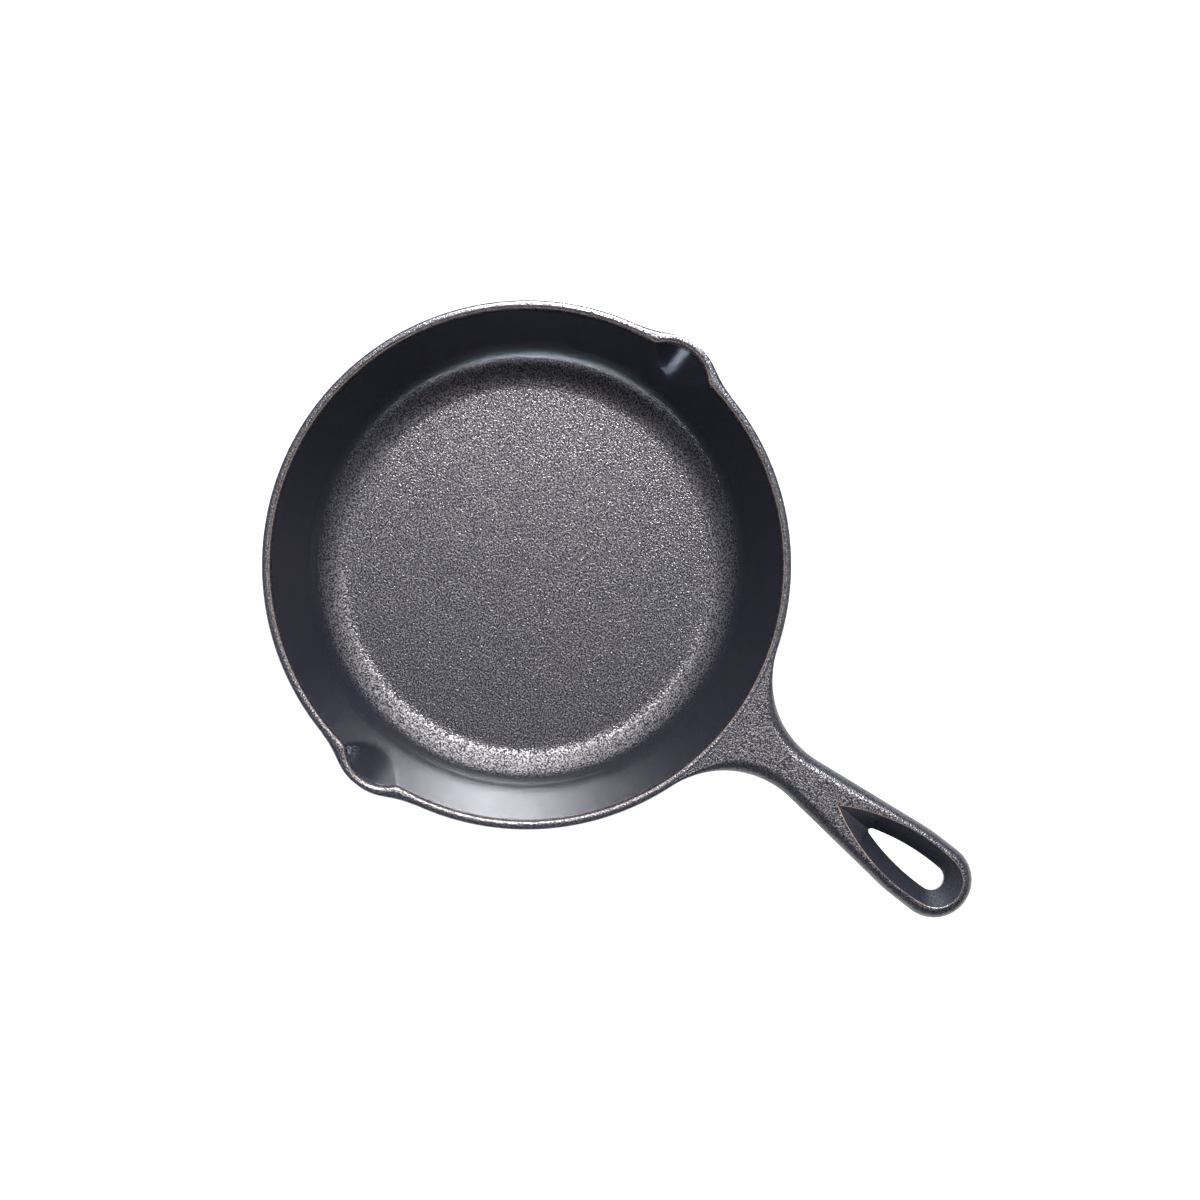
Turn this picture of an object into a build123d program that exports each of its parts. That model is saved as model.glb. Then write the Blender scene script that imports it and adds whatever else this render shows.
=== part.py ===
from build123d import *
import math
import os

# Cast iron skillet. The real pan is a single casting, so its regions are
# solids that meet face to face and stay together as one rigid body.
# Millimetres. The origin is the centre of the flat base, +Z is up, the
# handle points along +X and the two pour spouts face +Y and -Y.

# Bowl
RIM_RADIUS = 114.3          # widest point of the rounded rim
PAN_HEIGHT = 50.0           # base to rim
FLOOR_THICKNESS = 5.0
INNER_FILLET = 19.0         # cooking surface to wall
OUTER_FILLET = 23.0         # base to wall
INNER_FLARE = 23.1          # wall lean from upright, in degrees
OUTER_FLARE = 22.4
RIM_INNER_CORNER = 110.9    # before its edge is rounded
RIM_INNER_ROUND = 2.0
RIM_OUTER_ROUND = 1.3
FLOOR_SPLIT = 78.0          # radius where the floor region ends

# Pour spouts
SPOUT_SECTOR = 26.0         # angle of wall that belongs to a spout, in degrees
SPOUT_LEAN = 37.0           # lean of the pouring lip from upright, in degrees
POCKET_RADIUS = 18.0
POCKET_REACH = 117.2        # pan centre to the inside of the lip, at rim height
LIP_REACH = 120.3           # pan centre to the outside of the lip
LIP_RADIUS = 27.0
LIP_BLEND_RADIUS = 34.0     # hollow curve from the lip back to the rim
LIP_LENGTH = 30.0           # slanted lip and pocket, until the wall cuts them off

# Handle
HANDLE_TIP = 238.3          # pan centre to the end of the handle
GRIP_HALF_WIDTH = 16.4
GRIP_TAPER = 6.4            # lean of each side of the handle, in degrees
GRIP_SHOULDER_X = 213.0     # where the sides stop widening
GRIP_SHOULDER_RADIUS = 90.0
NECK_START_X = 150.0        # the sides turn parallel on the pan's side of this
NECK_BLEND_RADIUS = 150.0
FLARE_RADIUS = 41.0         # hollow curve from the neck out to the rim
HANDLE_THICKNESS = 12.0
HANDLE_EDGE_ROUND = 4.0
HANDLE_LIFT = 2.5           # rise towards the tip, in degrees
LIFT_START_X = 108.0
WEB_DEPTH = 12.0            # depth of the flared web beside the neck
GUSSET_END_X = 132.0        # underside of the neck curves down from here
GUSSET_FOOT_X = 96.0
GUSSET_FOOT_Z = 22.0
BAR_ROOT_X = 80.0           # buried in the bowl, then cut away
NECK_SPLIT_X = 163.0        # where the neck region ends

# Teardrop recess and hanging hole
RECESS_WIDEST_X = 213.0
RECESS_HALF_WIDTH = 12.1
RECESS_SIDE_RADIUS = 85.0
RECESS_END_X = 234.1
RECESS_TIP_ROUND = 0.5
RECESS_DEPTH = 6.5
HOLE_WIDEST_X = 216.0
HOLE_HALF_WIDTH = 5.5
HOLE_SIDE_RADIUS = 95.0
HOLE_END_X = 226.1
HOLE_TIP_ROUND = 1.3

# Cutting shapes
REACH = 300.0               # longer than the whole skillet
OVERRUN = 5.0               # cutting shapes run past the iron by this
LEVEL_MARGIN = 0.1          # an edge this close to a level counts as on it


def tan(degrees):
    return math.tan(math.radians(degrees))


def sin(degrees):
    return math.sin(math.radians(degrees))


def cos(degrees):
    return math.cos(math.radians(degrees))


def rounding_loss(radius, lean):
    """How far rounding pulls in an edge between a level top and a leaning side."""
    return radius * (tan(lean) + 1 / cos(lean) - 1)


RIM_CORNER = RIM_RADIUS + rounding_loss(RIM_OUTER_ROUND, OUTER_FLARE)


def corner(face, x, z):
    """The corner of a face in the XZ plane that is nearest to a point."""
    return face.vertices().sort_by_distance((x, 0, z))[0]


def outer_profile():
    """Half section of the bowl filled to the rim, in the XZ plane."""
    base_corner = RIM_CORNER - PAN_HEIGHT * tan(OUTER_FLARE)
    points = [(0, 0), (base_corner, 0), (RIM_CORNER, PAN_HEIGHT), (0, PAN_HEIGHT)]
    face = make_face(Plane.XZ * Polyline(*points, close=True))
    face = fillet(corner(face, base_corner, 0), OUTER_FILLET)
    return fillet(corner(face, RIM_CORNER, PAN_HEIGHT), RIM_OUTER_ROUND)


def inner_profile():
    """Half section of the space in the bowl, in the XZ plane."""
    floor_corner = RIM_INNER_CORNER - (PAN_HEIGHT - FLOOR_THICKNESS) * tan(INNER_FLARE)
    above = PAN_HEIGHT + OVERRUN
    mouth = RIM_INNER_CORNER + OVERRUN
    points = [
        (0, FLOOR_THICKNESS),
        (floor_corner, FLOOR_THICKNESS),
        (RIM_INNER_CORNER, PAN_HEIGHT),
        (mouth, PAN_HEIGHT),
        (mouth, above),
        (0, above),
    ]
    face = make_face(Plane.XZ * Polyline(*points, close=True))
    face = fillet(corner(face, floor_corner, FLOOR_THICKNESS), INNER_FILLET)
    return fillet(corner(face, RIM_INNER_CORNER, PAN_HEIGHT), RIM_INNER_ROUND)


def wall_profile():
    """Half section of the wall, from the edge of the floor up to the rim."""
    beyond_floor = Pos(FLOOR_SPLIT + REACH / 2, 0) * Rectangle(REACH, REACH)
    return (outer_profile() - inner_profile()) & (Plane.XZ * beyond_floor)


def turned(face, arc, start):
    """A face in the XZ plane turned about Z through an arc, in degrees."""
    return Rot(0, 0, start) * revolve(face, Axis.Z, arc)


def wedge(arc, start):
    """All the space within an arc about Z, in degrees."""
    half_plane = Pos(REACH / 2, 0) * Rectangle(REACH, REACH)
    return turned(Plane.XZ * half_plane, arc, start)


def lip_outline():
    """Outline of one pouring lip at rim height, for the spout that faces +Y.

    A round nose blends into the rim circle through a hollow curve each side.
    """
    nose_y = LIP_REACH - LIP_RADIUS
    blend_from_nose = LIP_RADIUS + LIP_BLEND_RADIUS
    blend_from_axis = RIM_CORNER + LIP_BLEND_RADIUS
    blend_y = (blend_from_axis ** 2 - blend_from_nose ** 2 + nose_y ** 2) / (2 * nose_y)
    blend_x = math.sqrt(blend_from_axis ** 2 - blend_y ** 2)
    blend = Vector(blend_x, blend_y)
    nose = Vector(0, nose_y)
    on_nose = nose + (blend - nose).normalized() * LIP_RADIUS
    on_rim = blend.normalized() * RIM_CORNER
    on_blend = blend + ((on_nose + on_rim) * 0.5 - blend).normalized() * LIP_BLEND_RADIUS
    tip = Vector(0, LIP_REACH)

    def left(point):
        return Vector(-point.X, point.Y)

    return make_face([
        ThreePointArc(left(on_nose), tip, on_nose),
        ThreePointArc(on_nose, on_blend, on_rim),
        Line(on_rim, left(on_rim)),
        ThreePointArc(left(on_rim), left(on_blend), left(on_nose)),
    ])


def pour_spout():
    """The spout that faces +Y: a sector of wall pushed out into a leaning lip."""
    down_and_in = Vector(0, -sin(SPOUT_LEAN), -cos(SPOUT_LEAN))
    lip = extrude(Pos(0, 0, PAN_HEIGHT) * lip_outline(), amount=LIP_LENGTH, dir=down_and_in)
    pocket_face = Pos(0, POCKET_REACH - POCKET_RADIUS, PAN_HEIGHT) * Circle(POCKET_RADIUS)
    pocket = extrude(pocket_face, amount=LIP_LENGTH, dir=down_and_in)
    start = 90 - SPOUT_SECTOR / 2
    sector = turned(wall_profile(), SPOUT_SECTOR, start)
    bowl_space = turned(inner_profile(), 360, 0)
    return sector + (lip & wedge(SPOUT_SECTOR, start)) - bowl_space - pocket


def flare_centre():
    """Centre of the hollow curve that joins one side of the handle to the rim."""
    along = Vector(cos(GRIP_TAPER), sin(GRIP_TAPER))
    outward = Vector(-sin(GRIP_TAPER), cos(GRIP_TAPER))
    shoulder = Vector(GRIP_SHOULDER_X, GRIP_HALF_WIDTH - GRIP_SHOULDER_RADIUS)
    on_side = shoulder + outward * (GRIP_SHOULDER_RADIUS + FLARE_RADIUS)
    back = on_side.dot(along)
    gap = back ** 2 - on_side.length ** 2 + (RIM_RADIUS + FLARE_RADIUS) ** 2
    return on_side + along * (math.sqrt(gap) - back)


def bar_outline():
    """Plan of the neck and grip, carried on into the bowl without its flare."""
    end_x = HANDLE_TIP - GRIP_HALF_WIDTH
    narrow_x = GRIP_SHOULDER_X - GRIP_SHOULDER_RADIUS * sin(GRIP_TAPER)
    narrow_y = GRIP_HALF_WIDTH - GRIP_SHOULDER_RADIUS * (1 - cos(GRIP_TAPER))
    neck_y = narrow_y - (narrow_x - NECK_START_X) * tan(GRIP_TAPER)
    root_y = neck_y - NECK_BLEND_RADIUS * (1 - cos(GRIP_TAPER))
    root_x = NECK_START_X - NECK_BLEND_RADIUS * sin(GRIP_TAPER)
    upper = Line((BAR_ROOT_X, root_y), (root_x, root_y))
    upper += TangentArc((root_x, root_y), (NECK_START_X, neck_y), tangent=(1, 0))
    upper += Line((NECK_START_X, neck_y), (narrow_x, narrow_y))
    shoulder = (GRIP_SHOULDER_X, GRIP_HALF_WIDTH)
    upper += TangentArc((narrow_x, narrow_y), shoulder, tangent=(cos(GRIP_TAPER), sin(GRIP_TAPER)))
    upper += Line(shoulder, (end_x, GRIP_HALF_WIDTH))
    upper += TangentArc((end_x, GRIP_HALF_WIDTH), (HANDLE_TIP, 0), tangent=(1, 0))
    root_end = Line((BAR_ROOT_X, -root_y), (BAR_ROOT_X, root_y))
    return make_face([*upper.edges(), *mirror(upper, Plane.XZ).edges(), root_end])


def bar_side_profile():
    """Side view of the neck and grip: level, with the underside curving down at the root."""
    under = PAN_HEIGHT - HANDLE_THICKNESS
    far = HANDLE_TIP + OVERRUN
    curve = TangentArc((GUSSET_END_X, under), (GUSSET_FOOT_X, GUSSET_FOOT_Z), tangent=(-1, 0))
    rest = Polyline(
        (GUSSET_FOOT_X, GUSSET_FOOT_Z),
        (BAR_ROOT_X, GUSSET_FOOT_Z),
        (BAR_ROOT_X, PAN_HEIGHT),
        (far, PAN_HEIGHT),
        (far, under),
        (GUSSET_END_X, under),
    )
    return Plane.XZ * make_face([curve, *rest.edges()])


def runs_along(edge):
    """True for an edge of the handle's outline that isn't square across its root."""
    size = edge.bounding_box().size
    return size.X > LEVEL_MARGIN and size.Z < LEVEL_MARGIN


def handle_bar():
    """Neck and grip with rounded edges."""
    plan = extrude(bar_outline(), amount=PAN_HEIGHT)
    side = extrude(bar_side_profile(), amount=REACH / 2, both=True)
    bar = plan & side
    for height in (PAN_HEIGHT, PAN_HEIGHT - HANDLE_THICKNESS):
        level = bar.edges().filter_by_position(Axis.Z, height - LEVEL_MARGIN, height + LEVEL_MARGIN)
        bar = fillet(level.filter_by(runs_along), HANDLE_EDGE_ROUND)
    return bar


def root_web():
    """Flared web beside the neck. Its sides lean in with the wall and fade into the rim."""
    centre = flare_centre()
    loss = RIM_CORNER - RIM_RADIUS
    top_radius = FLARE_RADIUS - loss
    bottom_radius = top_radius + WEB_DEPTH * tan(OUTER_FLARE)
    middle = Pos((BAR_ROOT_X + centre.X) / 2, 0, PAN_HEIGHT - WEB_DEPTH / 2)
    web = middle * Box(centre.X - BAR_ROOT_X, 2 * centre.Y, WEB_DEPTH)
    for side in (1, -1):
        place = Pos(centre.X, side * centre.Y, PAN_HEIGHT - WEB_DEPTH / 2)
        web -= place * Cone(bottom_radius, top_radius, WEB_DEPTH)
    half_angle = math.degrees(math.atan2(centre.Y, centre.X))
    return web & wedge(2 * half_angle, -half_angle)


def teardrop(widest_x, half_width, side_radius, end_x, tip_round):
    """A teardrop face: a tight round towards the pan and a full round towards the tip."""
    side_drop = side_radius - half_width
    tip_run = math.sqrt(side_radius ** 2 - side_drop ** 2)
    end_run = end_x - widest_x
    end_radius = (tip_run ** 2 - end_run ** 2) / (2 * (side_radius - end_run))
    side_centre = Vector(widest_x, -side_drop)
    end_centre = Vector(end_x - end_radius, 0)
    tip = Vector(widest_x - tip_run, 0)
    widest = Vector(widest_x, half_width)
    shared = side_centre + (end_centre - side_centre).normalized() * side_radius
    half = ThreePointArc(tip, widest, shared)
    end = ThreePointArc(shared, (end_x, 0), (shared.X, -shared.Y))
    face = make_face([half, end, mirror(half, Plane.XZ).edge()])
    return fillet(face.vertices().sort_by(Axis.X)[0], tip_round)


def hanging_hole():
    """The recess that funnels down to the hanging hole, and the hole below it."""
    mouth = teardrop(
        RECESS_WIDEST_X, RECESS_HALF_WIDTH, RECESS_SIDE_RADIUS, RECESS_END_X, RECESS_TIP_ROUND
    )
    throat = teardrop(HOLE_WIDEST_X, HOLE_HALF_WIDTH, HOLE_SIDE_RADIUS, HOLE_END_X, HOLE_TIP_ROUND)
    throat = Pos(0, 0, PAN_HEIGHT - RECESS_DEPTH) * throat
    below = extrude(throat, amount=-HANDLE_THICKNESS)
    return loft([Pos(0, 0, PAN_HEIGHT) * mouth, throat]) + below


def handle():
    """The whole handle, lifted towards its tip and cut to the outside of the bowl."""
    solid = handle_bar() + root_web() - hanging_hole()
    hinge = Axis((LIFT_START_X, 0, PAN_HEIGHT), (0, 1, 0))
    solid = solid.rotate(hinge, -HANDLE_LIFT)
    return solid - turned(outer_profile(), 360, 0)


def beyond(x):
    """All the space on the handle side of an upright plane."""
    return Pos(x + REACH / 2, 0, 0) * Box(REACH, REACH, REACH)


def save(name, shape):
    export_step(shape, "parts/" + name + ".step")


os.makedirs("parts", exist_ok=True)

plain_wall = 180 - SPOUT_SECTOR
spout = pour_spout()
whole_handle = handle()

save("pan_floor", Cylinder(FLOOR_SPLIT, FLOOR_THICKNESS, align=(Align.CENTER, Align.CENTER, Align.MIN)))
save("handle_side_wall", turned(wall_profile(), plain_wall, -plain_wall / 2))
save("far_side_wall", turned(wall_profile(), plain_wall, 180 - plain_wall / 2))
save("left_pour_spout", spout)
save("right_pour_spout", Rot(0, 0, 180) * spout)
save("handle_neck", whole_handle - beyond(NECK_SPLIT_X))
save("handle_grip", whole_handle & beyond(NECK_SPLIT_X))
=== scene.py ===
import math

import bmesh
import bpy
from bpy.props import FloatProperty, FloatVectorProperty, IntProperty, PointerProperty
from mathutils import Matrix, Vector, noise


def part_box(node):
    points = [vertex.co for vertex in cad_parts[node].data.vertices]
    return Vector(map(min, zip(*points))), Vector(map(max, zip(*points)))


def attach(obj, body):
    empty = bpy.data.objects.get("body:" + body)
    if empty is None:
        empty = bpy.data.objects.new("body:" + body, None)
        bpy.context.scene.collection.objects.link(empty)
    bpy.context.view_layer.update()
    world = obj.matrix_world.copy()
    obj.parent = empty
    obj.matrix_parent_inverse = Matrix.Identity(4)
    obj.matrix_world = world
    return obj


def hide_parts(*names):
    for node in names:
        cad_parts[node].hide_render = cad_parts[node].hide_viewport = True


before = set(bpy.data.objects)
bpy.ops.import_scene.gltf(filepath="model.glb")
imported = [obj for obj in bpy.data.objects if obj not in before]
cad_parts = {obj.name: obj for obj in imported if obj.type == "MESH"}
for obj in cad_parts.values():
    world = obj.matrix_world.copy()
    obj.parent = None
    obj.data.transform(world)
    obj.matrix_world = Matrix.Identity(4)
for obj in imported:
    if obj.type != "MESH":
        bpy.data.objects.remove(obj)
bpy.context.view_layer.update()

bl_info = {
    "name": "Cast Iron Skillet",
    "version": (1, 0, 0),
    "blender": (4, 5, 0),
    "location": "View3D > Sidebar > Skillet",
    "description": "Models a seasoned cast iron skillet with two pouring lips and a looped handle",
    "category": "Object",
}

BODY = "root"
UP = Vector((0, 0, 1))
TURN_AXIS = (0, 1, 0)       # sections are drawn in the XZ plane and turned about Y
MERGE = 1e-6                # metres
SHARP_ANGLE = math.radians(62)


# Sizes read from the packed model

PAN_HEIGHT = round(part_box("far_side_wall")[1].z, 4)
RIM_RADIUS = round(-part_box("far_side_wall")[0].x, 4)
FLOOR_EDGE = round(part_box("pan_floor")[1].x, 4)
FLOOR_HEIGHT = round(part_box("pan_floor")[1].z, 4)
LIP_REACH = round(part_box("left_pour_spout")[1].y, 4)
GRIP_HALF_WIDTH = round(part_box("handle_grip")[1].y, 4)


def length(name, description, metres):
    """A size that the sidebar shows in the scene's units."""
    return FloatProperty(
        name=name, description=description, default=metres, min=0, unit="LENGTH", precision=5
    )


def angle(name, description, degrees):
    """An angle that the sidebar shows in degrees."""
    return FloatProperty(
        name=name, description=description, default=math.radians(degrees), unit="ROTATION"
    )


def colour(name, description, rgb):
    """A linear colour that the sidebar shows as a swatch."""
    return FloatVectorProperty(
        name=name, description=description, default=rgb, size=3, min=0, max=1, subtype="COLOR"
    )


class SkilletBowl(bpy.types.PropertyGroup):
    """Section of the bowl."""

    height: length("Height", "Base to rim", PAN_HEIGHT)
    floor_height: length("Floor", "Base to cooking surface", FLOOR_HEIGHT)
    floor_edge: length("Floor edge", "Radius where the floor meets the wall's casting", FLOOR_EDGE)
    rim_radius: length("Rim radius", "Widest radius of the rounded rim", RIM_RADIUS)
    inner_corner: length("Rim inside", "Inner radius of the rim before rounding", 0.1109)
    inner_flare: angle("Inner flare", "Lean of the inside of the wall from upright", 23.1)
    outer_flare: angle("Outer flare", "Lean of the outside of the wall from upright", 22.4)
    inner_fillet: length("Inner fillet", "Curve from cooking surface to wall", 0.019)
    outer_fillet: length("Outer fillet", "Curve from base to wall", 0.023)
    rim_inner_round: length("Rim inner round", "Rounding of the rim's inner edge", 0.002)
    rim_outer_round: length("Rim outer round", "Rounding of the rim's outer edge", 0.0013)
    sector: angle("Spout sector", "Arc of wall that holds one spout", 26)
    turn_steps: IntProperty(
        name="Steps per ten degrees", description="Divisions of 10 degrees of wall", default=25
    )


class SkilletSpout(bpy.types.PropertyGroup):
    """Shape of one pouring lip and its pocket."""

    pocket_radius: length("Pocket radius", "Radius of the pouring pocket", 0.018)
    pocket_reach: length("Pocket reach", "Pan centre to the pocket's end at the rim", 0.1172)
    lip_reach: length("Lip reach", "Pan centre to the outside of the lip", LIP_REACH)
    lean: angle("Lean", "Lean of the pouring lip from upright", 37)
    lip_fade: length("Lip fade", "Depth below the rim where the lip's swelling ends", 0.020)
    lip_angle: angle("Lip angle", "Half width of the lip's swelling along the rim", 7.83)
    lip_power: FloatProperty(
        name="Lip squareness", description="How flat the lip's nose is", default=2.65, min=1
    )
    cusp_round: length("Cusp rounding", "Softness of the edge between pocket and wall", 0.0006)


class SkilletHandle(bpy.types.PropertyGroup):
    """Plan and section of the handle."""

    tip: length("Tip", "Pan centre to the end of the handle", 0.2383)
    grip_half_width: length("Grip half width", "Half the widest width", GRIP_HALF_WIDTH)
    taper: angle("Taper", "Lean of each side in plan", 6.4)
    widest_x: length("Widest point", "Where the sides stop widening", 0.213)
    shoulder_radius: length("Shoulder radius", "Plan curve into the widest point", 0.090)
    flare_radius: length("Flare radius", "Hollow plan curve out to the rim", 0.041)
    thickness: length("Thickness", "Depth of the grip", 0.012)
    neck_shoulder: length("Neck shoulder", "Width of the rounded edge on the neck", 0.0056)
    grip_shoulder: length("Grip shoulder", "Width of the rounded edge beside the recess", 0.0040)
    underside_round: length("Underside round", "Width of the rounded lower edge", 0.0045)
    lift: angle("Lift", "Rise towards the tip", 2.5)
    lift_start: length("Lift start", "Where the rise begins", 0.108)
    lift_settle: length("Lift settle", "Length over which the rise sets in", 0.016)
    gusset_end: length("Gusset end", "Where the underside starts to deepen", 0.132)
    gusset_radius: length("Gusset radius", "Curve of the deepening underside", 0.0485)
    web_edge: length("Web edge", "Thickness of the web where it leaves the rim", 0.0012)
    root_inset: length("Root inset", "Outside of the rim to the end of the root inside it", 0.0020)
    recess_depth: length("Recess depth", "Depth at the edge of the hanging hole", 0.0065)
    recess_half_width: length("Recess half width", "Half the recess's widest width", 0.0121)
    recess_side_radius: length("Recess side radius", "Plan curve of the recess's sides", 0.085)
    recess_end: length("Recess end", "Pan centre to the recess's broad end", 0.2341)
    recess_point: length("Recess point", "Rounding of the recess's narrow end", 0.0005)
    hole_shift: length("Hole shift", "Widest point of the hole beyond that of the grip", 0.003)
    hole_half_width: length("Hole half width", "Half the hanging hole's widest width", 0.0055)
    hole_side_radius: length("Hole side radius", "Plan curve of the hole's sides", 0.095)
    hole_end: length("Hole end", "Pan centre to the hole's broad end", 0.2261)
    hole_point: length("Hole point", "Rounding of the hole's narrow end", 0.0013)


class SkilletFinish(bpy.types.PropertyGroup):
    """Casting grain and seasoning."""

    pebble: length("Pebble", "Height of the cast pebbles", 0.00003)
    coarse: length("Coarse grain", "Size of the larger pebbles", 0.0019)
    fine: length("Fine grain", "Size of the smaller pebbles", 0.00095)
    iron: colour("Iron", "Seasoned iron", (0.003, 0.003, 0.005))
    brown: colour("Thin seasoning", "Brown that shows on edges and worn patches", (0.16, 0.105, 0.07))
    smooth_satin: FloatProperty(name="Smooth satin", description="Roughness where smooth", default=0.17)
    pebble_satin: FloatProperty(name="Pebble satin", description="Roughness where pebbled", default=0.36)
    handle_satin: FloatProperty(name="Handle satin", description="Roughness of the handle", default=0.33)
    smooth_tint: colour("Smooth sheen", "Tint of the sheen where smooth", (0.86, 0.93, 1.0))
    pebble_tint: colour("Pebble sheen", "Tint of the sheen where pebbled", (1.0, 0.92, 0.92))
    paper: colour("Floor", "Plain pale studio floor", (0.12, 0.12, 0.12))
    paper_glow: FloatProperty(name="Floor glow", description="Light it gives off", default=0.97, min=0)


class SkilletStage(bpy.types.PropertyGroup):
    """Studio floor, camera and lamps."""

    camera_height: length("Camera height", "Camera above the rim", 1.5)
    view_width: length("View width", "Width that the view covers at the rim", 0.5173)
    key_power: FloatProperty(name="Key power", description="Watts of the window lamp", default=172, min=0)
    top_power: FloatProperty(name="Top power", description="Watts of the overhead panel", default=1.5, min=0)
    side_power: FloatProperty(name="Side power", description="Watts of the side lamp", default=1.2, min=0)
    sky: colour("Sky", "Dim bluish light from all round", (0.44, 0.45, 0.53))


# Chains of edges in the XZ plane

def last_vert(made):
    return next(item for item in made["geom_last"] if isinstance(item, bmesh.types.BMVert))


def go_straight(bm, vert, end, steps):
    """Carries a chain of edges on in a straight line, and returns its last vertex."""
    step = (Vector(end) - vert.co) / steps
    made = bmesh.ops.spin(
        bm, geom=[vert], cent=(0, 0, 0), axis=TURN_AXIS, dvec=step, angle=0, steps=steps
    )
    return last_vert(made)


def go_round(bm, vert, centre, turn, steps):
    """Carries a chain of edges on round an arc, and returns its last vertex."""
    made = bmesh.ops.spin(
        bm, geom=[vert], cent=centre, axis=TURN_AXIS, angle=turn, steps=steps
    )
    return last_vert(made)


# Steps along each stretch of the section, from the floor's edge round to the base
FOOT_STEPS, FILLET_STEPS, INNER_STEPS, RIM_STEPS = 2, 32, 48, 6
CROWN_STEPS, EDGE_STEPS, OUTER_STEPS, BASE_STEPS = 2, 8, 38, 26


class BowlSection:
    """Corners and centres of the wall's section, worked out from the bowl's sizes."""

    def __init__(self, bowl):
        self.bowl = bowl
        inner, outer = bowl.inner_flare, bowl.outer_flare
        loss = math.tan(outer) + 1 / math.cos(outer) - 1
        self.outer_corner = bowl.rim_radius + bowl.rim_outer_round * loss
        depth = bowl.height - bowl.floor_height
        foot = bowl.inner_corner - depth * math.tan(inner)
        self.fillet_turn = math.pi / 2 - inner
        foot_tangent = bowl.inner_fillet * math.tan(self.fillet_turn / 2)
        self.fillet_centre = Vector((foot - foot_tangent, 0, bowl.floor_height + bowl.inner_fillet))
        rim_tangent = bowl.rim_inner_round * math.tan(self.fillet_turn / 2)
        up_wall = Vector((math.sin(inner), 0, math.cos(inner)))
        self.wall_top = Vector((bowl.inner_corner, 0, bowl.height)) - up_wall * rim_tangent
        crown_x = bowl.inner_corner + rim_tangent
        self.rim_centre = Vector((crown_x, 0, bowl.height - bowl.rim_inner_round))
        self.outer_turn = math.pi / 2 + outer
        edge_tangent = bowl.rim_outer_round * math.tan(self.outer_turn / 2)
        edge_x = self.outer_corner - edge_tangent
        self.edge_centre = Vector((edge_x, 0, bowl.height - bowl.rim_outer_round))
        self.crown_end = Vector((edge_x, 0, bowl.height))
        base_corner = self.outer_corner - bowl.height * math.tan(outer)
        self.base_turn = math.pi - self.outer_turn
        base_tangent = bowl.outer_fillet * math.tan(self.base_turn / 2)
        down_wall = Vector((math.sin(outer), 0, math.cos(outer)))
        self.wall_foot = Vector((base_corner, 0, 0)) + down_wall * base_tangent
        self.base_centre = Vector((base_corner - base_tangent, 0, bowl.outer_fillet))

    def inner_radius(self, depth):
        return self.bowl.inner_corner - depth * math.tan(self.bowl.inner_flare)

    def outer_radius(self, depth):
        return self.outer_corner - depth * math.tan(self.bowl.outer_flare)

    def draw(self, bm):
        """Draws the closed outline of the wall's section, from the floor up and back down."""
        bowl = self.bowl
        start = Vector((bowl.floor_edge, 0, bowl.floor_height))
        vert = bm.verts.new(start)
        vert = go_straight(bm, vert, (self.fillet_centre.x, 0, bowl.floor_height), FOOT_STEPS)
        vert = go_round(bm, vert, self.fillet_centre, -self.fillet_turn, FILLET_STEPS)
        vert = go_straight(bm, vert, self.wall_top, INNER_STEPS)
        vert = go_round(bm, vert, self.rim_centre, self.fillet_turn, RIM_STEPS)
        vert = go_straight(bm, vert, self.crown_end, CROWN_STEPS)
        vert = go_round(bm, vert, self.edge_centre, self.outer_turn, EDGE_STEPS)
        vert = go_straight(bm, vert, self.wall_foot, OUTER_STEPS)
        vert = go_round(bm, vert, self.base_centre, self.base_turn, BASE_STEPS)
        vert = go_straight(bm, vert, (bowl.floor_edge, 0, 0), 1)
        go_straight(bm, vert, start, 1)
        bmesh.ops.remove_doubles(bm, verts=bm.verts, dist=MERGE)


def spin_wall(section, start, arc, steps):
    """A closed stretch of wall between two angles about the pan's centre."""
    bm = bmesh.new()
    section.draw(bm)
    bmesh.ops.rotate(bm, cent=(0, 0, 0), matrix=Matrix.Rotation(start, 3, "Z"), verts=bm.verts)
    outline = bm.verts[:] + bm.edges[:]
    bmesh.ops.spin(bm, geom=outline, cent=(0, 0, 0), axis=UP, angle=arc, steps=steps)
    open_edges = [edge for edge in bm.edges if edge.is_boundary]
    bmesh.ops.holes_fill(bm, edges=open_edges, sides=0)
    bmesh.ops.recalc_face_normals(bm, faces=bm.faces)
    return bm


# Casting grain: how pebbled a place is, from 0 to 1

HALF_WALL = 0.002                       # from the outside of the wall, to tell its two sides apart
OUTSIDE_GRAIN = 0.35
SMOOTH_GRAIN = 0.08
RIM_GRAIN = 0.75
FLOOR_GRAIN = 0.5
FOOT_GRAIN = 1                          # where the curve to the wall begins
RIM_DEPTH = 0.006                       # the rim reaches this far down
RIM_GRAIN_DEPTHS = (0.0028, 0.0012)     # below the rim, from smooth to pebbled
FLOOR_RISE = (0, 0.0008)                # above the cooking surface, from its grain to the foot's
FOOT_RISE = (0.0020, 0.0085)            # above the cooking surface, from pebbled to smooth
WORN_DEPTHS = (0.0002, 0.0005)          # below the rim, where its inner edge is worn
WORN_REACH = 0.0015                     # outward from the rim's inner corner
RIM_WEAR = 0.6
SEAM_FADE = 0.002                       # pebbles fade out this close to the base's seam
FLAT_MARGIN = 0.0002                    # past the floor's edge, where pebbles still rise straight up


def smoothstep(low, high, value):
    part = min(max((value - low) / (high - low), 0), 1)
    return part * part * (3 - 2 * part)


def pebble_height(point, finish):
    """Height of the cast pebbles at a place, from about -1 to 1."""
    coarse = noise.noise(point / finish.coarse)
    fine = noise.noise(point / finish.fine + Vector((7.3, 1.9, 4.1)))
    return 0.75 * coarse + 0.65 * fine


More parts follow.
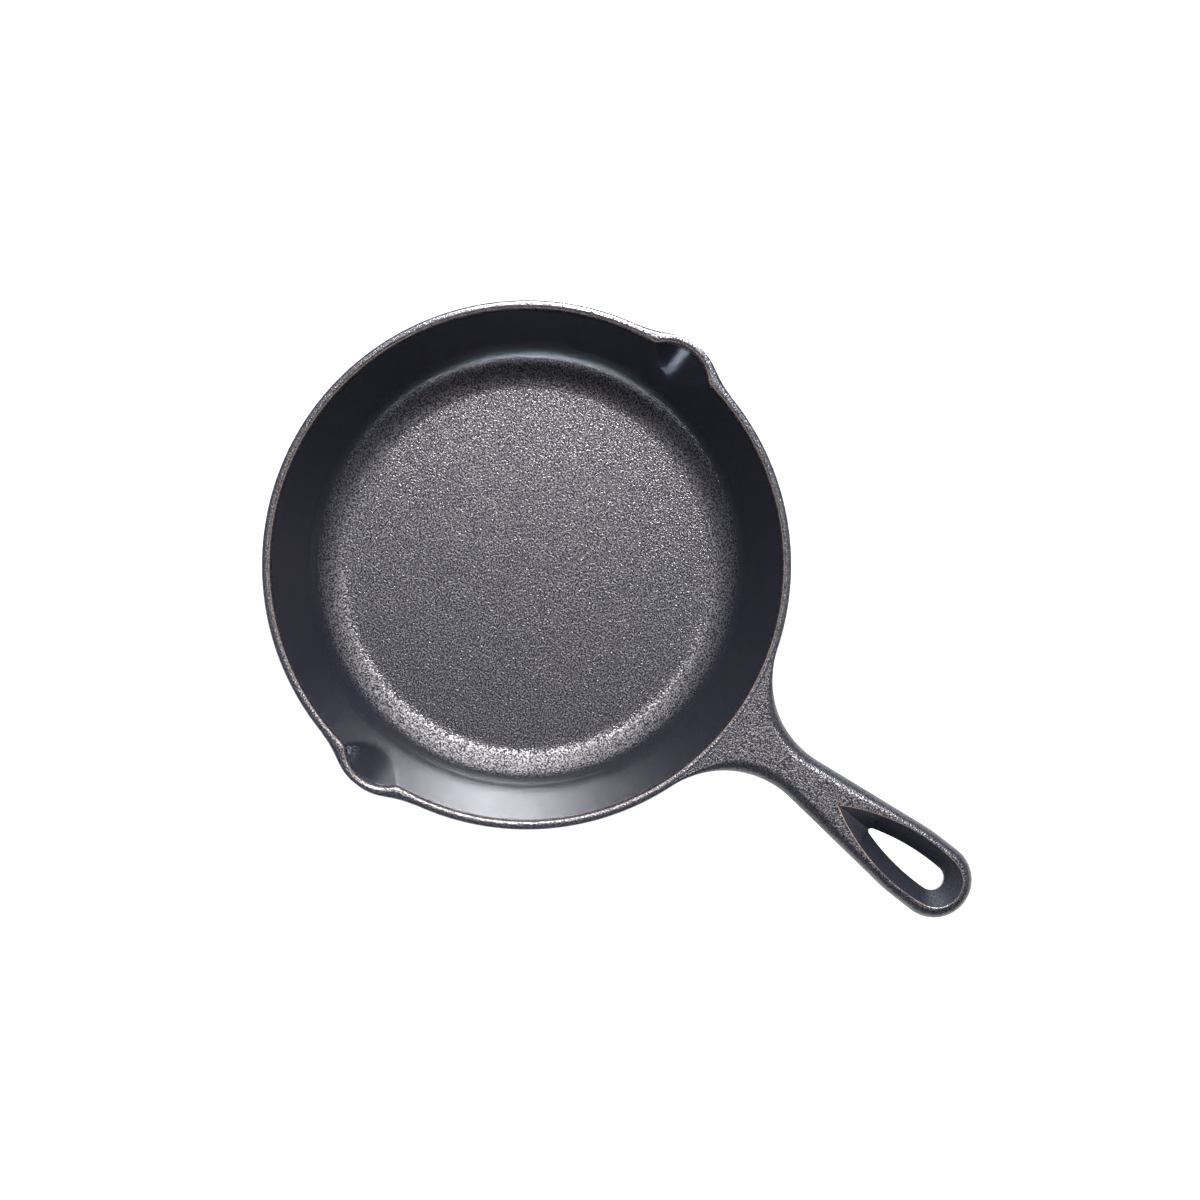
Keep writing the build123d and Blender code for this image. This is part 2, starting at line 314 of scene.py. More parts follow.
def bowl_grain(point, bowl):
    """How pebbled the bowl is at a place: the inside of the wall is smooth."""
    radius = point.xy.length
    middle = bowl.rim_radius - (bowl.height - point.z) * math.tan(bowl.outer_flare) - HALF_WALL
    inside = radius < middle and point.z > bowl.floor_height - MERGE
    if not inside:
        return OUTSIDE_GRAIN
    if point.z > bowl.height - RIM_DEPTH:
        smooth_z, pebbled_z = (bowl.height - depth for depth in RIM_GRAIN_DEPTHS)
        return SMOOTH_GRAIN + (RIM_GRAIN - SMOOTH_GRAIN) * smoothstep(smooth_z, pebbled_z, point.z)
    above = point.z - bowl.floor_height
    grain = FLOOR_GRAIN + (FOOT_GRAIN - FLOOR_GRAIN) * smoothstep(*FLOOR_RISE, above)
    return grain + (SMOOTH_GRAIN - grain) * smoothstep(*FOOT_RISE, above)


def radial_direction(vert):
    """A vertex's outward direction with no part along the turning of the bowl."""
    around = Vector((-vert.co.y, vert.co.x, 0)).normalized()
    return (vert.normal - around * vert.normal.dot(around)).normalized()


def rim_wear(point, bowl):
    """How worn the bowl is at a place: a thin line round the inner edge of the rim."""
    below = bowl.height - point.z
    inner_edge = point.xy.length < bowl.inner_corner + WORN_REACH
    return RIM_WEAR if WORN_DEPTHS[0] < below < WORN_DEPTHS[1] and inner_edge else 0


def mark_bowl(bm, bowl):
    """Stores how pebbled and how worn each place on a part of the bowl is."""
    grain = bm.verts.layers.float.new("grain")
    worn = bm.verts.layers.float.new("worn")
    for vert in bm.verts:
        vert[grain] = bowl_grain(vert.co, bowl)
        vert[worn] = rim_wear(vert.co, bowl)


def pebble_bowl(bm, bowl, finish):
    """Raises the cast pebbles on a part of the bowl."""
    layer = bm.verts.layers.float["grain"]
    bm.normal_update()
    moves = []
    for vert in bm.verts:
        beyond = vert.co.xy.length - bowl.floor_edge
        at_base = vert.co.z < bowl.floor_height / 2
        direction = radial_direction(vert)
        if beyond < FLAT_MARGIN:
            direction = -UP if at_base else UP
        seam = smoothstep(0, SEAM_FADE, abs(beyond)) if at_base else 1
        height = 2 * seam * vert[layer] * finish.pebble * pebble_height(vert.co, finish)
        moves.append(direction * height)
    for vert, move in zip(bm.verts, moves):
        vert.co += move


# Finishes

PEBBLE_SCALE, SPECK_SCALE, SMEAR_SCALE, CLOUD_SCALE = 1400, 2600, 140, 34   # per metre
PEBBLE_BUMP, SPECK_BUMP = 0.00017, 0.00003      # metres
SMOOTH_INDEX, PEBBLE_INDEX = 2.1, 1.65          # refractive index of the seasoning
PEBBLED_GRAIN = (0.1, 0.5)                      # grain over which the smooth finish turns pebbled
RECESS_GLOSS = 0.06                             # how much less rough the handle is where smooth


def add_noise(nodes, links, coords, scale, detail, roughness=0.5):
    node = nodes.new("ShaderNodeTexNoise")
    node.inputs["Scale"].default_value = scale
    node.inputs["Detail"].default_value = detail
    node.inputs["Roughness"].default_value = roughness
    links.new(coords, node.inputs["Vector"])
    return node.outputs["Fac"]


def add_range(nodes, links, value, from_low, from_high, to_low, to_high):
    node = nodes.new("ShaderNodeMapRange")
    numbers = (from_low, from_high, to_low, to_high)
    for name, number in zip(("From Min", "From Max", "To Min", "To Max"), numbers):
        node.inputs[name].default_value = number
    links.new(value, node.inputs["Value"])
    return node.outputs["Result"]


def add_math(nodes, links, operation, first, second):
    node = nodes.new("ShaderNodeMath")
    node.operation = operation
    for socket, value in zip(node.inputs, (first, second)):
        if isinstance(value, (int, float)):
            socket.default_value = value
        else:
            links.new(value, socket)
    return node.outputs["Value"]


def add_attribute(nodes, name):
    node = nodes.new("ShaderNodeAttribute")
    node.attribute_name = name
    return node.outputs["Fac"]


def add_bump(nodes, links, height, distance, strength, normal=None):
    node = nodes.new("ShaderNodeBump")
    node.inputs["Distance"].default_value = distance
    node.inputs["Strength"].default_value = strength
    links.new(height, node.inputs["Height"])
    if normal is not None:
        links.new(normal, node.inputs["Normal"])
    return node.outputs["Normal"]


def add_mix(nodes, links, factor, first, second):
    node = nodes.new("ShaderNodeMix")
    node.data_type = "RGBA"
    node.clamp_factor = True
    node.inputs["A"].default_value = (*first, 1)
    node.inputs["B"].default_value = (*second, 1)
    links.new(factor, node.inputs["Factor"])
    return node.outputs["Result"]


def seasoned_iron(name, finish, smooth_satin, pebble_satin, smooth_index):
    """Oil-seasoned black iron: fine pebbles, uneven satin and a little brown where it is thin."""
    material = bpy.data.materials.new(name)
    material.use_nodes = True
    nodes, links = material.node_tree.nodes, material.node_tree.links
    shader = nodes["Principled BSDF"]
    coords = nodes.new("ShaderNodeTexCoord").outputs["Object"]
    grain = add_attribute(nodes, "grain")
    pebbles = add_noise(nodes, links, coords, PEBBLE_SCALE, 1)
    specks = add_noise(nodes, links, coords, SPECK_SCALE, 2, 0.6)
    clouds = add_noise(nodes, links, coords, CLOUD_SCALE, 4, 0.55)
    smears = add_noise(nodes, links, coords, SMEAR_SCALE, 3, 0.6)

    thin = add_range(nodes, links, clouds, 0.45, 0.75, 0, 0.01)
    worn = add_math(nodes, links, "ADD", thin, add_attribute(nodes, "worn"))
    speckle = add_range(nodes, links, specks, 0.40, 0.62, 0.35, 1)
    amount = add_math(nodes, links, "MULTIPLY", worn, speckle)
    links.new(add_mix(nodes, links, amount, finish.iron, finish.brown), shader.inputs["Base Color"])
    pebbled = add_range(nodes, links, grain, *PEBBLED_GRAIN, 0, 1)
    tint = add_mix(nodes, links, pebbled, finish.smooth_tint, finish.pebble_tint)
    links.new(tint, shader.inputs["Specular Tint"])

    satin = add_range(nodes, links, grain, 0, 1, smooth_satin, pebble_satin)
    uneven = add_range(nodes, links, smears, 0.3, 0.7, -0.01, 0.012)
    broad = add_math(nodes, links, "ADD", satin, uneven)
    sparkle = add_range(nodes, links, specks, 0.35, 0.65, -0.10, 0.10)
    lively = add_math(nodes, links, "MULTIPLY", sparkle, grain)
    rough = add_math(nodes, links, "ADD", broad, lively)
    rougher = add_range(nodes, links, grain, FLOOR_GRAIN, FOOT_GRAIN, 0, 0.17)
    links.new(add_math(nodes, links, "ADD", rough, rougher), shader.inputs["Roughness"])

    strong = add_range(nodes, links, grain, SMOOTH_GRAIN, FLOOR_GRAIN, 0.18, 1)
    soft = add_math(nodes, links, "MULTIPLY", pebbles, strong)
    normal = add_bump(nodes, links, soft, PEBBLE_BUMP, 1.0)
    fine = add_math(nodes, links, "MULTIPLY", specks, strong)
    normal = add_bump(nodes, links, fine, SPECK_BUMP, 1.0, normal)
    links.new(normal, shader.inputs["Normal"])
    glint = add_range(nodes, links, pebbles, 0.40, 0.64, -0.42, 0.5)
    level = add_math(nodes, links, "MULTIPLY", glint, strong)
    level = add_math(nodes, links, "ADD", level, 0.5)
    shaded = add_range(nodes, links, grain, FLOOR_GRAIN, FOOT_GRAIN, 1, 0.5)
    links.new(add_math(nodes, links, "MULTIPLY", level, shaded), shader.inputs["Specular IOR Level"])
    index = add_range(nodes, links, grain, *PEBBLED_GRAIN, smooth_index, PEBBLE_INDEX)
    links.new(index, shader.inputs["IOR"])
    return material


def finished_piece(name, bm, material, nodes):
    """Turns a bmesh into a named piece that rides on the casting and stands for CAD nodes."""
    mesh = bpy.data.meshes.new(name)
    for face in bm.faces:
        face.smooth = True
    bm.to_mesh(mesh)
    bm.free()
    mesh.set_sharp_from_angle(angle=SHARP_ANGLE)
    mesh.materials.append(material)
    piece = bpy.data.objects.new(name, mesh)
    bpy.context.scene.collection.objects.link(piece)
    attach(piece, BODY)
    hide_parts(*nodes)


def bowl_iron(name, finish):
    """The bowl's finish, made once for each of its two materials."""
    sheen = (finish.smooth_satin, finish.pebble_satin, SMOOTH_INDEX)
    return bpy.data.materials.get(name) or seasoned_iron(name, finish, *sheen)


def pebbled_iron(finish):
    return bowl_iron("seasoned_pebbled_iron", finish)


def smooth_iron(finish):
    return bowl_iron("seasoned_smooth_iron", finish)


def handle_iron(finish):
    """The handle's finish, a little glossier in the recess."""
    name = "seasoned_handle_iron"
    sheen = (finish.handle_satin - RECESS_GLOSS, finish.handle_satin, PEBBLE_INDEX)
    return bpy.data.materials.get(name) or seasoned_iron(name, finish, *sheen)


# Cooking surface

def round_off(point, radius):
    """Moves a place in a square of half width 1 to the like place in a disc."""
    x, y = point.x, point.y
    if abs(x) < MERGE and abs(y) < MERGE:
        return Vector((0, 0))
    if abs(x) > abs(y):
        turn = math.pi / 4 * y / x
        return Vector((math.cos(turn), math.sin(turn))) * (x * radius)
    turn = math.pi / 2 - math.pi / 4 * x / y
    return Vector((math.cos(turn), math.sin(turn))) * (y * radius)


def disc_edges(bm, divisions, height, radius):
    """Adds a disc of evenly sized quads and returns the edges of its rim."""
    made = bmesh.ops.create_grid(bm, x_segments=divisions, y_segments=divisions, size=1)
    for vert in made["verts"]:
        vert.co.xy = round_off(vert.co, radius)
        vert.co.z = height
    return list({edge for vert in made["verts"] for edge in vert.link_edges if edge.is_boundary})


class SKILLET_OT_cooking_surface(bpy.types.Operator):
    """Casts the flat cooking surface and the base under it"""

    bl_idname = "skillet.cooking_surface"
    bl_label = "Cooking surface"

    def execute(self, context):
        scene = context.scene
        bowl, finish = scene.skillet_bowl, scene.skillet_finish
        bm = bmesh.new()
        quarter = bowl.turn_steps * 9       # steps in 90 degrees
        rims = disc_edges(bm, quarter, bowl.floor_height, bowl.floor_edge)
        rims += disc_edges(bm, quarter * 2 // 3, 0, bowl.floor_edge)     # the base is coarser
        bmesh.ops.bridge_loops(bm, edges=rims)
        bmesh.ops.recalc_face_normals(bm, faces=bm.faces)
        mark_bowl(bm, bowl)
        pebble_bowl(bm, bowl, finish)
        finished_piece("cooking_surface", bm, pebbled_iron(finish), ["pan_floor"])
        return {"FINISHED"}


# Wall

class SKILLET_OT_walls(bpy.types.Operator):
    """Spins the two plain stretches of flared wall with their rounded rim"""

    bl_idname = "skillet.walls"
    bl_label = "Walls"

    def execute(self, context):
        scene = context.scene
        bowl, finish = scene.skillet_bowl, scene.skillet_finish
        section = BowlSection(bowl)
        arc = math.pi - bowl.sector
        steps = round(math.degrees(arc) * bowl.turn_steps / 10)
        sides = (("wall_by_handle", "handle_side_wall", 0), ("wall_far", "far_side_wall", math.pi))
        for name, node, middle in sides:
            bm = spin_wall(section, middle - arc / 2, arc, steps)
            mark_bowl(bm, bowl)
            pebble_bowl(bm, bowl, finish)
            finished_piece(name, bm, smooth_iron(finish), [node])
        return {"FINISHED"}


# Pouring spouts

POCKET_BLEND = 0.004        # the pocket's blended edge ends this far short of the wall
LIP_FADE_POWER = 1.5


def push_out(point, section, spout):
    """How far a place in a spout's wall is pushed out from the plain wall."""
    depth = section.bowl.height - point.z
    around = math.pi / 2 - abs(math.atan2(point.y, point.x))
    pocket_y = spout.pocket_reach - spout.pocket_radius - depth * math.tan(spout.lean)
    across = pocket_y * math.sin(around)
    pocket = pocket_y * math.cos(around) + math.sqrt(max(spout.pocket_radius ** 2 - across ** 2, 0))
    excess = pocket - section.inner_radius(depth)
    inner = (excess + math.hypot(excess, spout.cusp_round)) / 2
    inner = inner if excess > -POCKET_BLEND else 0
    swelling = math.exp(-(abs(around) / spout.lip_angle) ** spout.lip_power)
    fade = max(1 - depth / spout.lip_fade, 0) ** LIP_FADE_POWER
    outer = (spout.lip_reach - section.bowl.rim_radius) * swelling * fade
    wall = section.outer_radius(depth) - section.inner_radius(depth)
    through = (point.xy.length - section.inner_radius(depth)) / wall
    through = min(max(through, 0), 1)
    return (1 - through) * inner + through * outer


class SKILLET_OT_spouts(bpy.types.Operator):
    """Spins the wall at each side and pushes it out into a leaning pouring lip"""

    bl_idname = "skillet.spouts"
    bl_label = "Pouring spouts"

    def execute(self, context):
        scene = context.scene
        bowl, finish = scene.skillet_bowl, scene.skillet_finish
        section = BowlSection(bowl)
        steps = round(math.degrees(bowl.sector) * bowl.turn_steps / 5)     # twice as fine as the walls
        sides = (("spout_left", "left_pour_spout", 1), ("spout_right", "right_pour_spout", -1))
        for name, node, side in sides:
            bm = spin_wall(section, side * math.pi / 2 - bowl.sector / 2, bowl.sector, steps)
            mark_bowl(bm, bowl)
            for vert in bm.verts:
                outward = Vector((*vert.co.xy.normalized(), 0))
                vert.co += outward * push_out(vert.co, section, scene.skillet_spout)
            pebble_bowl(bm, bowl, finish)
            finished_piece(name, bm, smooth_iron(finish), [node])
        return {"FINISHED"}


# Handle: rows run from the silhouette in to the middle, and columns run round the section

RECESS_SLOPE, FLAT_TOP, SHOULDER, LOWER_ROUND, UNDERSIDE, INNER_WALL = 14, 30, 14, 12, 26, 8
COLUMNS = RECESS_SLOPE + FLAT_TOP + SHOULDER + LOWER_ROUND + UNDERSIDE + INNER_WALL
ROW_SPACING = 0.00052
CRISP = 0.0003                              # half width of the recess's crisp edge
ROOT_LEAN = 0.42                            # how far the root leans in for each metre down
NECK_TO_GRIP = (0.165, 0.195)               # where the neck's section turns into the grip's
RECESS_LEAD = 0.015                         # the columns draw together this far before the recess
FLAT_SHARE = 0.35                           # of the flat, inside the edge column on the neck
SHOULDER_SHARE = 0.6                        # of a row's length, the most that the shoulder takes
UNDER_SHARE = 0.9                           # and the most that the lower round takes
GUSSET_RIDGE = (0.005, 0.016)               # from the middle, where the gusset fades away
WEB_TURNS = (math.radians(30), math.radians(66))    # round the flare, where the web thickens
UNDER_RIM = 0.0015                          # the web passes under the rim from this far inside its edge
TUCK = 0.00004                              # how deep it is tucked there
TUCK_FADE = 0.0008                          # the tuck ends over this length
PEBBLE_FADE = 0.0022                        # and the pebbles begin over this one
HANDLE_GRAIN = (0.15, 0.80)                 # in the recess and on the flat top
SIDE_SHARE = 0.25                           # of the flat's extra grain, kept on the sides
FLAT_NORMAL = (0.93, 0.99)                  # a normal's height, from side to flat


class Teardrop:
    """A convex outline: two side arcs, a round end towards the tip and a tight round at the pan's side."""

    def __init__(self, widest_x, half_width, side_radius, end_x, tip_round):
        drop = side_radius - half_width
        end_run = end_x - widest_x
        run_squared = side_radius ** 2 - drop ** 2
        self.side = Vector((widest_x, -drop))
        self.side_radius = side_radius
        self.end_radius = (run_squared - end_run ** 2) / (2 * (side_radius - end_run))
        self.end = Vector((end_x - self.end_radius, 0))
        self.tip_round = tip_round
        tip_run = math.sqrt((side_radius - tip_round) ** 2 - drop ** 2)
        self.tip = Vector((widest_x - tip_run, 0))
        self.tip_x = self.tip.x - tip_round

    def gap(self, point):
        """Distance outside the outline, or less than 0 inside it."""
        place = Vector((point.x, abs(point.y)))
        ray = place - self.side
        if ray.cross(self.end - self.side) > 0:
            return (place - self.end).length - self.end_radius
        if ray.cross(self.tip - self.side) < 0:
            return (place - self.tip).length - self.tip_round
        return ray.length - self.side_radius

    def crossing(self, row):
        """How far in from the silhouette a row meets the outline, or None if it misses."""
        outside, inside = 0, row.reach
        if self.gap(row.at(inside)) >= 0:
            return None
        for _ in range(40):
            middle = (outside + inside) / 2
            if self.gap(row.at(middle)) > 0:
                outside = middle
            else:
                inside = middle
        return inside


class Row:
    """A line in plan from the silhouette in to the middle of the handle."""

    def __init__(self, start, inward, reach):
        self.start = start
        self.inward = inward
        self.reach = reach

    def at(self, distance):
        return self.start + self.inward * distance

    def to_circle(self, radius):
        """Distance to a circle about the pan's centre."""
        toward = self.start.dot(self.inward)
        inside = toward ** 2 - self.start.length_squared + radius ** 2
        return -toward - math.sqrt(inside) if inside > 0 else math.inf


def fill(start, end, count):
    """Even steps from one pair of numbers to just short of another."""
    return [start.lerp(end, step / count) for step in range(count)]


class HandleShape:
    """Works out each row of the handle's half, from its plan and its section."""

    def __init__(self, handle, bowl):
        self.size = handle
        self.bowl = bowl
        self.recess = Teardrop(
            handle.widest_x, handle.recess_half_width, handle.recess_side_radius,
            handle.recess_end, handle.recess_point
        )
        self.hole = Teardrop(
            handle.widest_x + handle.hole_shift, handle.hole_half_width, handle.hole_side_radius,
            handle.hole_end, handle.hole_point
        )
        along = Vector((math.cos(handle.taper), math.sin(handle.taper)))
        outward = Vector((-along.y, along.x))
        self.plan_centre = Vector((handle.widest_x, handle.grip_half_width - handle.shoulder_radius))
        on_side = self.plan_centre + outward * (handle.shoulder_radius + handle.flare_radius)
        back = on_side.dot(along)
        together = bowl.rim_radius + handle.flare_radius
        slide = math.sqrt(back ** 2 - on_side.length_squared + together ** 2) - back
        self.flare = on_side + along * slide
        self.neck_start = self.flare - outward * handle.flare_radius
        self.neck_end = self.plan_centre + outward * handle.shoulder_radius
        self.end_centre = Vector((handle.tip - handle.grip_half_width, 0))

    def half_width(self, x):
        """Half the handle's width, outward of the flare's centre."""
        size = self.size
        if x < self.neck_start.x:
            return self.flare.y - math.sqrt(size.flare_radius ** 2 - (x - self.flare.x) ** 2)
        if x < self.neck_end.x:
            return self.neck_start.y + (x - self.neck_start.x) * math.tan(size.taper)
        if x < size.widest_x:
            return self.plan_centre.y + math.sqrt(size.shoulder_radius ** 2 - (size.widest_x - x) ** 2)
        return size.grip_half_width

    def rows(self, spacing):
        """All the rows of one half, from the rim to the tip."""
        size = self.size
        first = math.pi + math.atan2(self.flare.y, self.flare.x)
        last = 3 * math.pi / 2
        count = round((last - first) * size.flare_radius / spacing)
        rows = []
        for step in range(count):
            turn = first + (last - first) * step / count
            inward = Vector((math.cos(turn), math.sin(turn)))
            start = self.flare + inward * size.flare_radius
            rows.append(Row(start, inward, -start.y / inward.y))
        count = round((self.end_centre.x - self.flare.x) / spacing)
        for step in range(count):
            x = self.flare.x + (self.end_centre.x - self.flare.x) * step / count
            width = self.half_width(x)
            rows.append(Row(Vector((x, width)), Vector((0, -1)), width))
        count = round(math.pi / 2 * size.grip_half_width / spacing)
        for step in range(count + 1):
            turn = math.pi / 2 * (1 - step / count)
            out = Vector((math.cos(turn), math.sin(turn)))
            rows.append(Row(self.end_centre + out * size.grip_half_width, -out, size.grip_half_width))
        return rows

    def root_radius(self, depth):
        """Radius inside the bowl's wall where the handle's root ends."""
        return self.bowl.rim_radius - self.size.root_inset - ROOT_LEAN * depth

    def gusset(self, point):
        """How much deeper the underside is near the wall."""
        near = max(self.size.gusset_end - point.x, 0)
        across = 1 - smoothstep(*GUSSET_RIDGE, abs(point.y))
        return near ** 2 / (2 * self.size.gusset_radius) * across

    def inner_end(self, row, depth):
        return min(row.reach, row.to_circle(self.root_radius(depth)))

    def fullness(self, row):
        """0 where the web fades into the rim, 1 where the handle has its full rounded section."""
        turned = math.atan2(-row.inward.y, -row.inward.x)
        return smoothstep(*WEB_TURNS, turned) if row.start.x < self.flare.x else 1

    def inner_corner(self, row):
        """Distance in and depth where a row's top ends: at the hole, in the recess or at the middle."""
        hole = self.hole.crossing(row)
        if hole:
            return hole, self.size.recess_depth
        top_end = row.reach if row.start.x > self.flare.x else self.inner_end(row, 0)
        if self.recess.crossing(row) is None:
            return top_end, 0
        slope = self.size.recess_depth / (self.hole.tip_x - self.recess.tip_x)
        return top_end, max(row.start.x - self.recess.tip_x, 0) * slope

    def shoulder_width(self, row, top_end):
        """Width of the rounded upper edge."""
        size = self.size
        grip = smoothstep(*NECK_TO_GRIP, row.start.x)
        width = size.neck_shoulder + (size.grip_shoulder - size.neck_shoulder) * grip
        width = size.web_edge + (width - size.web_edge) * self.fullness(row)
        return min(width, top_end * SHOULDER_SHARE)

    def recess_edge(self, row, top_end, shoulder):
        """Distance in to the edge of the recess, or on the neck to the column that carries it on."""
        edge = self.recess.crossing(row)
        if edge is None:
            share = FLAT_SHARE * (top_end - shoulder)
            close = smoothstep(self.recess.tip_x - RECESS_LEAD, self.recess.tip_x, row.start.x)
            edge = top_end - (share + (CRISP - share) * close)
        return min(edge, top_end - CRISP) if top_end > 0.002 else edge

    def top_pairs(self, top_end, inner_depth, edge, shoulder):
        """Pairs out over the slope of the recess, its crisp edge and the flat."""
        crisp = min(CRISP, (edge - shoulder) / 3, (top_end - edge) / 3)
        steep = inner_depth / (top_end - edge)
        slope_end = Vector((edge + crisp, crisp * steep))
        pairs = fill(Vector((top_end, inner_depth)), slope_end, RECESS_SLOPE - 1)
        pairs += [slope_end, Vector((edge, 0))]
        return pairs + fill(Vector((edge - crisp, 0)), Vector((shoulder, 0)), FLAT_TOP - 1)

    def side_pairs(self, full, shoulder, lean):
        """Pairs round the shoulder, down the side and round the lower edge."""
        size = self.size
        half = size.thickness / 2
        web = size.web_edge
        lip = half * full + web * (1 - full)
        pairs = []
        for step in range(SHOULDER):
            turn = math.pi / 2 * step / SHOULDER
            pairs.append(Vector((shoulder * (1 - math.sin(turn)), lip * (1 - math.cos(turn)))))
        for step in range(LOWER_ROUND):
            part = step / LOWER_ROUND
            turn = math.pi / 2 * part
            rounded = Vector((size.underside_round * (1 - math.cos(turn)), half + half * math.sin(turn)))
            straight = Vector((lean * part, web + (size.thickness - web) * part))
            pairs.append(straight.lerp(rounded, full))
        return pairs

    def lower_end(self, row, top_end):
        """Distance in and depth where a row's underside ends."""
        thickness = self.size.thickness
        if self.hole.crossing(row):
            return top_end, thickness
        depth = thickness
        for _ in range(4):      # the end and its depth settle each other
            bottom_end = self.inner_end(row, depth)
            depth = thickness + self.gusset(row.at(bottom_end))
        return bottom_end, depth

    def section(self, row):
        """Pairs of distance in from the silhouette and depth, round half the handle."""
        size = self.size
        full = self.fullness(row)
        top_end, inner_depth = self.inner_corner(row)
        shoulder = self.shoulder_width(row, top_end)
        edge = self.recess_edge(row, top_end, shoulder)
        shoulder = min(shoulder, edge - CRISP) if edge > 0.001 else shoulder
        lean = math.tan(self.bowl.outer_flare) * (size.thickness - size.web_edge)
        bottom_end, depth = self.lower_end(row, top_end)
        under_x = min(lean + (size.underside_round - lean) * full, bottom_end * UNDER_SHARE)
        pairs = self.top_pairs(top_end, inner_depth, edge, shoulder)
        pairs += self.side_pairs(full, shoulder, lean)
        pairs += fill(Vector((under_x, size.thickness)), Vector((bottom_end, size.thickness)), UNDERSIDE)
        pairs += fill(Vector((bottom_end, depth)), Vector((top_end, inner_depth)), INNER_WALL)
        return pairs

    def rise(self, x):
        """How far the lift towards the tip raises a place."""
        along = max(x - self.size.lift_start, 0)
        settle = self.size.lift_settle
        eased = along ** 2 / (2 * settle) if along < settle else along - settle / 2
        return eased * math.tan(self.size.lift)

    def place(self, row, pair, column):
        """The point in space for one pair of a row's section."""
        point = row.at(pair.x)
        depth = pair.y
        inner_wall = column >= COLUMNS - INNER_WALL
        if not inner_wall and depth > self.size.thickness / 2:
            below = (depth / self.size.thickness - 0.5) * 2
            depth += self.gusset(point) * below
        tucked_from = self.bowl.rim_radius - UNDER_RIM
        tuck = TUCK * (1 - smoothstep(tucked_from, tucked_from + TUCK_FADE, point.length))
        height = self.bowl.height - depth - tuck + self.rise(point.x)
        return Vector((point.x, point.y, height))


def handle_half(shape, spacing):
    """A tube for half the handle, open along the middle."""
    rows = shape.rows(spacing)
    sections = [shape.section(row) for row in rows]
    bm = bmesh.new()
    bmesh.ops.create_grid(bm, x_segments=len(rows) - 1, y_segments=COLUMNS, size=1)
    worn = bm.verts.layers.float.new("worn")
    for vert in bm.verts:
        step = round((vert.co.x + 1) / 2 * (len(rows) - 1))
        column = round((vert.co.y + 1) / 2 * COLUMNS) % COLUMNS
        row = rows[step]
        vert.co = shape.place(row, sections[step][column], column)
        at_edge = column == RECESS_SLOPE and shape.recess.crossing(row)
        vert[worn] = 1 if at_edge else 0
    bmesh.ops.remove_doubles(bm, verts=bm.verts, dist=MERGE)
    middle = [face for face in bm.faces if all(abs(vert.co.y) < MERGE for vert in face.verts)]
    bmesh.ops.delete(bm, geom=middle, context="FACES")
    return bm


def pebble_handle(bm, shape, finish):
    """Raises the cast pebbles on the handle, less in the recess and none under the rim."""
    layer = bm.verts.layers.float.new("grain")
    root = shape.bowl.rim_radius - UNDER_RIM
    bm.normal_update()
    moves = []
    for vert in bm.verts:
        recess = smoothstep(-0.0015, 0.0005, shape.recess.gap(vert.co.xy))
        flat = SIDE_SHARE + (1 - SIDE_SHARE) * smoothstep(*FLAT_NORMAL, vert.normal.z)
        grain = HANDLE_GRAIN[0] + (HANDLE_GRAIN[1] - HANDLE_GRAIN[0]) * recess * flat
        vert[layer] = grain
        clear = smoothstep(root, root + PEBBLE_FADE, vert.co.xy.length)
        height = finish.pebble * grain * clear * pebble_height(vert.co, finish)
        moves.append(vert.normal * height)
    for vert, move in zip(bm.verts, moves):
        vert.co += move


class SKILLET_OT_handle(bpy.types.Operator):
    """Shapes the flared root, the neck and the grip with its recess and hanging hole"""

    bl_idname = "skillet.handle"
    bl_label = "Handle"

    def execute(self, context):
        scene = context.scene
        shape = HandleShape(scene.skillet_handle, scene.skillet_bowl)
        bm = handle_half(shape, ROW_SPACING)
        bmesh.ops.mirror(bm, geom=bm.verts[:] + bm.edges[:] + bm.faces[:], axis="Y", merge_dist=MERGE)
        bmesh.ops.remove_doubles(bm, verts=bm.verts, dist=MERGE)
        open_edges = [edge for edge in bm.edges if edge.is_boundary]
        bmesh.ops.holes_fill(bm, edges=open_edges, sides=0)
        bmesh.ops.recalc_face_normals(bm, faces=bm.faces)
        finish = scene.skillet_finish
        pebble_handle(bm, shape, finish)
        finished_piece("handle", bm, handle_iron(finish), ["handle_neck", "handle_grip"])
        return {"FINISHED"}


# Studio

VIEW_UP = Vector((-0.612, 0.791, 0))
VIEW_RIGHT = Vector((0.791, 0.612, 0))
CAMERA_AIM = (0.0344, 0.0072)       # on the level of the rim
CAMERA_PLACE = (0.0435, -0.0209)
FLOOR_GAP = 0.0001                  # keeps the floor clear of the base's pebbles
FLOOR_HALF_WIDTH = 3

# Name, power's property, place along the view's up and right and above the floor, size, tint
LAMPS = (
    ("window_lamp", "key_power", (0.97, 0.14, 1.26), (0.38, 0.62), (0.93, 0.97, 1.0)),
    ("top_panel", "top_power", (0.25, 0, 1.75), (1.0, 0.8), (1.0, 0.98, 0.96)),
    ("side_lamp", "side_power", (0, 1.2, 0.8), (0.5, 0.5), (1.0, 0.86, 0.72)),
)


def add_lamp(name, place, aim, size, power, tint):
    """A rectangular soft lamp that faces a point."""
    lamp = bpy.data.lights.new(name, "AREA")
    lamp.shape = "RECTANGLE"
    lamp.size, lamp.size_y = size
    lamp.energy = power
    lamp.color = tint
    holder = bpy.data.objects.new(name, lamp)
    holder.location = place
    holder.rotation_euler = (Vector(aim) - Vector(place)).to_track_quat("-Z", "Y").to_euler()
    bpy.context.scene.collection.objects.link(holder)


